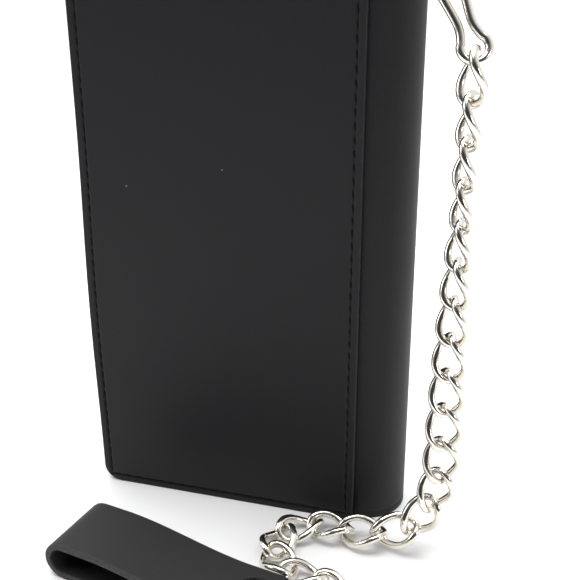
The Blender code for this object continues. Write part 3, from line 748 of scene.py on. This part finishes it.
# Belt loop: a strap of thicker, duller leather folded on itself and closed by a press stud.
# Its top has been rubbed paler by belts.  A narrow loop riveted on its end holds the ring.
STRAP_WIDTH = 25.0 * MM
STRAP_THICKNESS = 2.2 * MM
STRAP_LENGTH = 86.0 * MM
STRAP_CREST = 13.0 * MM
STRAP_CREST_AT = 15.0 * MM
FLAP_END = 76.5 * MM
SNAP_AT = 69.0 * MM
RING_AT = 103.3 * MM
RIVET_AT = 81.5 * MM
RIVET_HEAD = 3.2 * MM
LOOP_START = 77.2 * MM
LOOP_THICKNESS = 1.5 * MM
LOOP_WIDTH = 9.0 * MM
LOOP_CLEARANCE = 0.7 * MM
GAP = 0.3 * MM
SNAP_LOW, SNAP_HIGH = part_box("snap_cap")
STRAP_LEATHER = leather("strap_leather", (0.0210, 0.0200, 0.0200), (0.050, 0.048, 0.046), 0.62, 0.28,
                        0.07 * MM, 1100.0)


def strap_frame():
    """The strap's own frame: X along it from its fold, on the surface that it lies on."""
    low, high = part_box("strap_ring")
    snap = (SNAP_LOW + SNAP_HIGH) / 2
    ring = (low + high) / 2
    along = (ring - snap)
    along.z = 0.0
    along.normalize()
    start = snap - along * SNAP_AT
    start.z = 0.0
    across = Vector((0, 0, 1)).cross(along)
    turn = Matrix((along, across, (0, 0, 1))).transposed().to_4x4()
    return Matrix.Translation(start) @ turn


STRAP = strap_frame()


def strap_sheet(name, path, width, thickness, radii):
    length, at = follow(path)

    def lay(s, z, h):
        along, up = at(s, h)
        return STRAP @ Vector((along, z - width / 2, up))

    return sheet(name, (length, width), radii, thickness, lay, step=(1.5 * MM, 3 * MM))


def belt_loop():
    half = STRAP_THICKNESS / 2
    flap_level = SNAP_LOW.z - GAP - half
    nose = (STRAP_CREST - STRAP_THICKNESS) / 2
    center = (nose + half, nose + half)
    lower = [(STRAP_LENGTH, half), (STRAP_LENGTH / 2, half)] + arc(center, (nose, nose), 270, 180, 20)
    upper = arc(center, (nose, nose), 180, 90, 20) + [(STRAP_CREST_AT, STRAP_CREST - half)]
    snap_edge = SNAP_AT - (SNAP_HIGH.x - SNAP_LOW.x) / 2
    steps = 24
    for step in range(1, steps + 1):
        share = step / steps
        ease = share * share * (3 - 2 * share)
        run = STRAP_CREST_AT + (snap_edge - STRAP_CREST_AT) * share
        upper.append((run, STRAP_CREST - half + (flap_level - STRAP_CREST + half) * ease))
    upper.append((FLAP_END, flap_level))
    mesh = strap_sheet("strap_under", lower, STRAP_WIDTH, STRAP_THICKNESS, (2.5 * MM, 0.0))
    finish_mesh("strap_under", mesh, STRAP_LEATHER, "strap_base", ("strap_base",))
    mesh = strap_sheet("strap_over", upper, STRAP_WIDTH, STRAP_THICKNESS, (0.0, 4.0 * MM))
    over = finish_mesh("strap_over", mesh, STRAP_LEATHER, None, ("strap_flap",))
    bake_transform(over)

    thin = LOOP_THICKNESS / 2
    low = STRAP_THICKNESS + GAP + thin
    turn = thin + LOOP_CLEARANCE + RING_WIRE / 2
    ring_low, ring_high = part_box("strap_ring")
    ring_radius = (ring_high.x - ring_low.x - RING_WIRE) / 2
    bulge = RING_AT - math.sqrt(ring_radius ** 2 - (LOOP_WIDTH / 2) ** 2)
    above = low + LOOP_THICKNESS + GAP
    path = [(LOOP_START, low)] + arc((bulge, low + turn), (turn, turn), -90, 90, 16)
    path += [(RING_AT - ring_radius - RING_WIRE, low + 2 * turn), (RIVET_AT + RIVET_HEAD + GAP, above),
             (LOOP_START, above)]
    mesh = strap_sheet("ring_loop_leather", path, LOOP_WIDTH, LOOP_THICKNESS, (1.0 * MM, 1.0 * MM))
    finish_mesh("ring_loop_leather", mesh, STRAP_LEATHER, "strap_base", ("ring_loop",))


belt_loop()

# Press stud and rivet: the cap is brass under black lacquer, the rest is nickel plated.
def lacquer():
    made, tree, shader = new_material("black_lacquer")
    where = node(tree, "TexCoord").outputs["Object"]
    haze = node(tree, "TexNoise", {"Vector": where, "Scale": 700.0, "Detail": 4.0})
    tone = tones(tree, haze.outputs["Fac"], (0.008, 0.008, 0.009), (0.018, 0.018, 0.019))
    tree.links.new(tone.outputs["Result"], shader.inputs["Base Color"])
    rough = node(tree, "MapRange", {"Value": haze.outputs["Fac"], "To Min": 0.18, "To Max": 0.36})
    tree.links.new(rough.outputs[0], shader.inputs["Roughness"])
    return made


BLACK_LACQUER = lacquer()


def turned(name, at, profile, material, body, replaced):
    """A round fitting turned from a profile of radius and height, on the strap."""
    bm = bmesh.new()
    closed = profile[0] == profile[-1]
    points = profile[:-1] if closed else profile
    verts = [bm.verts.new((radius, 0.0, height)) for radius, height in points]
    pairs = list(zip(verts, verts[1:] + verts[:1])) if closed else list(zip(verts, verts[1:]))
    edges = [bm.edges.new(pair) for pair in pairs]
    bmesh.ops.spin(bm, geom=verts + edges, cent=(0, 0, 0), axis=(0, 0, 1), angle=2 * math.pi, steps=48,
                   use_merge=True)
    bmesh.ops.remove_doubles(bm, verts=bm.verts, dist=1e-6)
    bm.transform(STRAP @ Matrix.Translation((at, 0, 0)))
    finish_mesh(name, mesh_of(name, bm), material, body, replaced, 35)


def strap_fittings():
    radius = (SNAP_HIGH.x - SNAP_LOW.x) / 2
    low, high = SNAP_LOW.z - GAP, SNAP_HIGH.z
    dome = [(radius * math.sin(a), low + 0.5 * MM + (high - low - 0.5 * MM) * math.cos(a))
            for a in (math.radians(6 * step) for step in range(16))]
    rim = [(radius, low + 0.25 * MM), (radius - 0.3 * MM, low), (0.0, low)]
    turned("snap_cap_dome", SNAP_AT, dome + rim, BLACK_LACQUER, "strap_flap", ("snap_cap",))
    low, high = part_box("snap_stud")
    seat, top = low.z - GAP, high.z
    turned("snap_stud_post", SNAP_AT, [(0, seat), (5.0 * MM, seat), (4.8 * MM, seat + 0.5 * MM),
                                       (4.2 * MM, seat + 0.9 * MM), (1.6 * MM, seat + 1.0 * MM),
                                       (1.5 * MM, top - 0.7 * MM), (1.8 * MM, top - 0.4 * MM),
                                       (1.5 * MM, top), (0, top)],
           NICKEL, "strap_base", ("snap_stud",))
    low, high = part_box("snap_socket")
    under = low.z
    top = high.z + GAP
    turned("snap_socket_ring", SNAP_AT, [(2.1 * MM, under + 0.2 * MM), (2.5 * MM, under), (3.4 * MM, under),
                                         (3.9 * MM, under + 0.7 * MM), (5.0 * MM, top - 0.4 * MM),
                                         (5.0 * MM, top), (2.1 * MM, top), (2.1 * MM, under + 0.2 * MM)],
           NICKEL, "strap_flap", ("snap_socket",))
    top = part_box("strap_rivet")[1].z
    seat = top - 1.0 * MM - GAP
    dome = [(RIVET_HEAD * math.sin(a), seat + 0.3 * MM + 1.0 * MM * math.cos(a))
            for a in (math.radians(9 * step) for step in range(11))]
    turned("rivet_head", RIVET_AT, dome + [(3.0 * MM, seat), (0.0, seat)], NICKEL, "strap_base",
           ("strap_rivet",))


strap_fittings()

# Cloth lining in both halves: a plain black weave, sewn down along its free edges.
CLOTH_PER_METRE = 9000.0
LEAF_SEAM = 1.7 * MM
LEAF_CORNER = 2.0 * MM
LEAF_STEP = (9 * MM, 9 * MM)


def weave():
    """Threads that pass over and under each other, as a height."""
    group, given, out = effect("plain weave", {"Scale": CLOTH_PER_METRE}, ["Height"])
    where = node(group, "SeparateXYZ", {0: node(group, "TexCoord").outputs["Object"]})
    waves = []
    for axis in ("X", "Z"):
        run = math_node(group, "MULTIPLY", where.outputs[axis], given.outputs["Scale"])
        waves.append(math_node(group, "SINE", run))
    group.links.new(math_node(group, "MULTIPLY", *waves), out.inputs["Height"])
    return group


WEAVE = weave()


def cloth(name, color, scale, shine):
    made, tree, shader = new_material(name)
    threads = node(tree, "Group", node_tree=WEAVE)
    threads.inputs["Scale"].default_value = scale
    shade = node(tree, "MapRange", {"Value": threads.outputs["Height"], "From Min": -1.0})
    toned = tones(tree, shade.outputs[0], [c * 0.6 for c in color], [c * 1.3 for c in color])
    tree.links.new(dusted(tree, toned), shader.inputs["Base Color"])
    roughen(tree, shader, threads.outputs["Height"], 0.6, 0.1 * MM)
    shader.inputs["Roughness"].default_value = 0.8
    shader.inputs["Specular IOR Level"].default_value = shine
    return made


LINING_CLOTH = cloth("lining_cloth", (0.022, 0.022, 0.024), CLOTH_PER_METRE, 0.3)


def leaf(name, body, facing, material=BLACK_LEATHER, corner=LEAF_CORNER, press=None,
         levels=()):
    """A flat sheet in place of a CAD leaf.  facing is +1 or -1, for the Y way its face looks."""
    low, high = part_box(name)

    def lay(s, z, h):
        return low.x + s, (low.y + high.y) / 2 + facing * h, low.z + z

    size = (high.x - low.x, high.z - low.z)
    mesh = sheet(name + "_sheet", size, (corner, corner), high.y - low.y, lay, (), levels, LEAF_STEP, press)
    finish_mesh(name + "_sheet", mesh, material, body, (name,))
    return low, high


def seam(name, body, facing, y, corners):
    """A row of stitches through a list of (x, z) corners on a leaf's face."""
    points = [(x, y, z) for x, z in corners]
    stitches(name, [(a, b, (0, facing, 0)) for a, b in zip(points, points[1:])], body)


def seam_around(name, body, facing, y, low, high):
    """A row of stitches round a rectangle, from its lower left corner."""
    seam(name, body, facing, y, [low, (low[0], high[1]), high, (high[0], low[1]), low])


def linings():
    low, high = leaf("front_lining", "front_half", 1, LINING_CLOTH, CORNER_RADIUS)
    left, right, top = low.x + LEAF_SEAM, high.x - LEAF_SEAM, high.z - LEAF_SEAM
    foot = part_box("card_slot_1")[1].z + LEAF_SEAM
    seam("front_lining_seam", "front_half", 1, high.y,
         [(left, foot), (left, top), (right, top), (right, foot)])
    low, high = leaf("back_lining", "back_half", -1, LINING_CLOTH, CORNER_RADIUS)
    seam_around("back_lining_seam", "back_half", -1, low.y, (left, low.z + LEAF_SEAM), (right, top))


linings()

# Card slots: four leather leaves stepped one below the other, each with a line creased
# under its open edge and sewn down at both sides where it shows.
OPEN_CREASE = 1.5 * MM


def creased(height):
    """Levels and pressed line of a crease under a leaf's open edge."""
    levels = [height - OPEN_CREASE + offset for offset in CREASE_LINES]

    def press(s, z):
        away = (height - z - OPEN_CREASE) / (0.25 * MM)
        return 0.16 * MM * math.exp(-away * away)

    return levels, press


def card_slots():
    names = [f"card_slot_{index}" for index in range(1, 5)]
    for name, cover in zip(names, names[1:] + ["window_pocket"]):
        low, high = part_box(name)
        levels, press = creased(high.z - low.z)
        leaf(name, "front_half", 1, press=press, levels=levels)
        foot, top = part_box(cover)[1].z, high.z - 3 * MM
        for side, x in (("left", low.x + LEAF_SEAM), ("right", high.x - LEAF_SEAM)):
            seam(f"{name}_{side}_seam", "front_half", 1, high.y, [(x, foot), (x, top)])


card_slots()

# Window pocket: clear film behind a leather frame that is sewn round its window and along
# its closed edges.
FRAME_SIDE_STEPS = 10
FRAME_CORNER_STEPS = 6
SOFT_EDGE = [(0.0, 0.5), (0.05, 0.2), (0.2, 0.0)]
FLAT_FROM = 1.2


def rectangle(low, high, radius):
    """Points round a rectangle with round corners, the same number for every rectangle."""
    corners = [(high[0], high[1], 0), (low[0], high[1], 90), (low[0], low[1], 180), (high[0], low[1], 270)]
    turns = []
    for x, z, start in corners:
        center = (x + (radius if x == low[0] else -radius), z + (radius if z == low[1] else -radius))
        turns.append(arc(center, (radius, radius), start, start + 90, FRAME_CORNER_STEPS))
    points = []
    for turn, after in zip(turns, turns[1:] + turns[:1]):
        points += turn
        for step in range(1, FRAME_SIDE_STEPS):
            share = step / FRAME_SIDE_STEPS
            points.append(tuple(a + (b - a) * share for a, b in zip(turn[-1], after[0])))
    return points


def band(name, loops):
    """A closed skin through loops, the last joined to the first.

    A loop is its low and high corner, the radius of its corners, its y and how rubbed it is.
    """
    bm = bmesh.new()
    near = bm.verts.layers.float.new("edge")
    rings = skin(bm, [[(x, y, z) for x, z in rectangle(low, high, radius)]
                      for low, high, radius, y, _ in loops], True)
    for ring, loop in zip(rings, loops):
        for vert in ring:
            vert[near] = loop[-1]
    return mesh_of(name, bm)


def hole_border(middle, size, out=0.0):
    """The low and high corner of a rectangle round a hole, a distance outside it."""
    return (tuple(m - length / 2 - out for m, length in zip(middle, size)),
            tuple(m + length / 2 + out for m, length in zip(middle, size)))


def framed(name, body, facing, middle, size, hole_radius, corner=LEAF_CORNER):
    """A leather leaf with a hole in it, its cut edges softened."""
    low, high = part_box(name)
    face, back = (high.y, low.y) if facing > 0 else (low.y, high.y)
    edges = [(inset * MM, drop) for inset, drop in SOFT_EDGE + [(FLAT_FROM, 0.0)]]
    sides = []
    for y, other in ((face, back), (back, face)):
        side = []
        for inset, drop in edges:
            side.append(((low.x + inset, low.z + inset), (high.x - inset, high.z - inset), corner,
                         y + (other - y) * drop, math.exp(-inset / WEAR_FADE)))
        for inset, drop in reversed(edges):
            side.append((*hole_border(middle, size, inset), hole_radius + inset,
                         y + (other - y) * drop, math.exp(-inset / WEAR_FADE)))
        sides.append(side)
    loops = sides[0] + sides[1][-2:0:-1]
    finish_mesh(name + "_frame", band(name + "_frame", loops), BLACK_LEATHER, body, (name,))
    return low, high, face


def clear_film():
    made, tree, shader = new_material("clear_film")
    where = node(tree, "TexCoord").outputs["Object"]
    ripple = node(tree, "TexNoise", {"Vector": where, "Scale": 60.0, "Detail": 1.0})
    roughen(tree, shader, ripple.outputs["Fac"], 0.3, 0.5 * MM)
    shader.inputs["Base Color"].default_value = (0.93, 0.94, 0.95, 1.0)
    shader.inputs["Transmission Weight"].default_value = 1.0
    shader.inputs["Roughness"].default_value = 0.08
    shader.inputs["IOR"].default_value = 1.45
    return made


WINDOW_SIZE = (64.0 * MM, 52.0 * MM)
WINDOW_CORNER = 4.0 * MM


def window_pocket():
    leaf("window_film", "front_half", 1, clear_film())
    low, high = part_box("window_pocket")
    middle = ((low.x + high.x) / 2, (low.z + high.z) / 2)
    low, high, face = framed("window_pocket", "front_half", 1, middle, WINDOW_SIZE, WINDOW_CORNER)
    left, right, bottom, top = low.x + LEAF_SEAM, high.x - LEAF_SEAM, low.z + LEAF_SEAM, high.z - LEAF_SEAM
    seam("pocket_seam", "front_half", 1, face, [(left, top), (left, bottom), (right, bottom), (right, top)])
    seam_around("window_seam", "front_half", 1, face, *hole_border(middle, WINDOW_SIZE, LEAF_SEAM))


window_pocket()

# Coin pouch: a leather panel with a slot for its zip, standing off the lining on a pleated
# cloth gusset that folds in between them.
ZIP_SLOT = (76.0 * MM, 8.4 * MM)
ZIP_CORNER = 2.0 * MM
PLEAT_CLOTH = 0.35 * MM


def coin_pouch():
    low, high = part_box("pouch_gusset")
    depth = high.y - low.y
    pleat = [(0.1, 0.0), (1.0, 0.25), (0.3, 0.5), (1.0, 0.75), (0.1, 1.0)]
    outer = [(inset * MM, low.y + depth * share) for inset, share in pleat]
    inner = [(inset + PLEAT_CLOTH, y) for inset, y in reversed(outer)]
    loops = [((low.x + inset, low.z + inset), (high.x - inset, high.z - inset), 3 * MM, y, 0.0)
             for inset, y in outer + inner]
    mesh = band("pouch_bellows", loops)
    finish_mesh("pouch_bellows", mesh, LINING_CLOTH, "back_half", ("pouch_gusset",),
                sharp=70)

    teeth = [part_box("zip_teeth_lower"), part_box("zip_teeth_upper")]
    middle = ((teeth[0][0].x + teeth[0][1].x) / 2, (teeth[0][0].z + teeth[1][1].z) / 2)
    low, high, face = framed("pouch_panel", "back_half", -1, middle, ZIP_SLOT, ZIP_CORNER, 3 * MM)
    seam_around("pouch_seam", "back_half", -1, face, (low.x + LEAF_SEAM, low.z + LEAF_SEAM),
                (high.x - LEAF_SEAM, high.z - LEAF_SEAM))
    seam_around("zip_seam", "back_half", -1, face, *hole_border(middle, ZIP_SLOT, LEAF_SEAM))


coin_pouch()

# Zip: separate metal teeth clamped on a cloth tape.  The slider has two wings and a post that
# the pull swivels on.
TOOTH_PITCH = 2.8 * MM
TOOTH_WIDTH = 1.1 * MM
FOOT_WIDTH = TOOTH_WIDTH * 1.25
TOOTH_BEVEL = 0.18 * MM
TOOTH_GRIP = 0.2 * MM
TOOTH_SPINE = 2.1 * MM
TOOTH_TIP = 0.25 * MM
TAPE_CLOTH = cloth("zip_tape", (0.012, 0.012, 0.013), 14000.0, 0.25)
ZIP_SHARP = 40
POST_RADIUS = 0.8 * MM
POST_HEAD = 1.7 * MM
PULL_HOLE = 1.1 * MM


def bevelled_box(bm, low, high, width):
    """A box between two corners with its edges rounded, added to bm."""
    made = bmesh.ops.create_cube(bm, size=1.0)["verts"]
    low, high = Vector(low), Vector(high)
    for vert in made:
        vert.co = Vector((low + high) / 2 + Vector(c * s for c, s in zip(vert.co, high - low)))
    edges = list({edge for vert in made for edge in vert.link_edges})
    bmesh.ops.bevel(bm, geom=edges, offset=width, segments=2, profile=0.6, affect="EDGES")


def zip_rows():
    for side, row in ((1, "upper"), (-1, "lower")):
        leaf("zip_tape_" + row, "back_half", -1, TAPE_CLOTH, 0.3 * MM)
        low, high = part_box("zip_teeth_" + row)
        back = high.z if side > 0 else low.z
        middle = back - side * TOOTH_SPINE
        center = (low.x + high.x) / 2
        length = high.x - low.x
        count = int(length / TOOTH_PITCH)
        start = -count * TOOTH_PITCH / 2 + (0 if side > 0 else TOOTH_PITCH / 2)
        bm = bmesh.new()
        for index in range(count):
            x = center + start + (index + 0.5) * TOOTH_PITCH
            if abs(x - center) + TOOTH_WIDTH / 2 > length / 2:
                continue
            for width, near, far in ((TOOTH_WIDTH, -TOOTH_TIP, 0.9 * MM), (FOOT_WIDTH, 0.8 * MM, 2.5 * MM)):
                ends = sorted((middle + side * near, middle + side * far))
                bevelled_box(bm, (x - width / 2, low.y, ends[0]),
                             (x + width / 2, high.y + TOOTH_GRIP, ends[1]), TOOTH_BEVEL)
        name = "zip_row_" + row
        finish_mesh(name, mesh_of(name, bm), NICKEL, "back_half", ("zip_teeth_" + row,),
                    ZIP_SHARP)


def zip_slider():
    low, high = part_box("zip_slider")
    middle = (low + high) / 2
    half = (high - low) / 2
    outline = [(-1.0, 0.45), (-0.75, 0.78), (-0.1, 1.0), (0.55, 0.98), (0.85, 0.7), (1.0, 0.3)]
    outline += [(x, -z) for x, z in reversed(outline)]
    bm = bmesh.new()
    corners = [(middle.x + x * half.x, low.y, middle.z + z * half.z) for x, z in outline]
    face = bm.faces.new([bm.verts.new(corner) for corner in corners])
    raised = bmesh.ops.extrude_face_region(bm, geom=[face])["geom"]
    top = [item for item in raised if isinstance(item, bmesh.types.BMVert)]
    bmesh.ops.translate(bm, vec=(0, high.y - low.y, 0), verts=top)
    bmesh.ops.bevel(bm, geom=bm.edges[:], offset=0.3 * MM, segments=2, profile=0.6, affect="EDGES")
    pull_low, pull_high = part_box("zip_pull")
    for radius, start, end in ((POST_RADIUS, low.y, pull_low.y - 0.1 * MM),
                               (POST_HEAD, pull_low.y - 0.15 * MM, pull_low.y - 0.55 * MM)):
        bmesh.ops.create_cone(bm, cap_ends=True, segments=24, radius1=radius, radius2=radius,
                              depth=abs(start - end),
                              matrix=Matrix.Translation((middle.x, (start + end) / 2, middle.z))
                              @ Matrix.Rotation(math.pi / 2, 4, "X"))
    finish_mesh("slider_body", mesh_of("slider_body", bm), NICKEL, "zip_slider", ("zip_slider",),
                ZIP_SHARP)

    pull_middle = (pull_low + pull_high) / 2
    width = (pull_high.x - pull_low.x) / 2
    length = (pull_high.z - pull_low.z) / 2
    count = 48
    loops = []
    for inset, y in ((0.0, 0.25), (0.15, 0.0), (None, 0.0), (None, 1.0), (0.15, 1.0), (0.0, 0.75)):
        ring = []
        for index in range(count):
            angle = 2 * math.pi * index / count
            level = pull_low.y + (pull_high.y - pull_low.y) * y
            if inset is None:
                x, z = PULL_HOLE * math.cos(angle), middle.z + PULL_HOLE * math.sin(angle) - pull_middle.z
            else:
                squared = (abs(math.cos(angle)) ** 5 + abs(math.sin(angle)) ** 5) ** -0.2
                neck = 0.72 + 0.28 * min(max((math.sin(angle) * squared + 0.2) / -0.6 + 1.0, 0.0), 1.0)
                x = (width - inset * MM) * math.cos(angle) * squared * neck
                z = (length - inset * MM) * math.sin(angle) * squared
            ring.append((pull_middle.x + x, level, pull_middle.z + z))
        loops.append(ring)
    bm = bmesh.new()
    skin(bm, loops, True)
    finish_mesh("pull_tag", mesh_of("pull_tag", bm), NICKEL, "zip_pull", ("zip_pull",), 30)


zip_rows()
zip_slider()
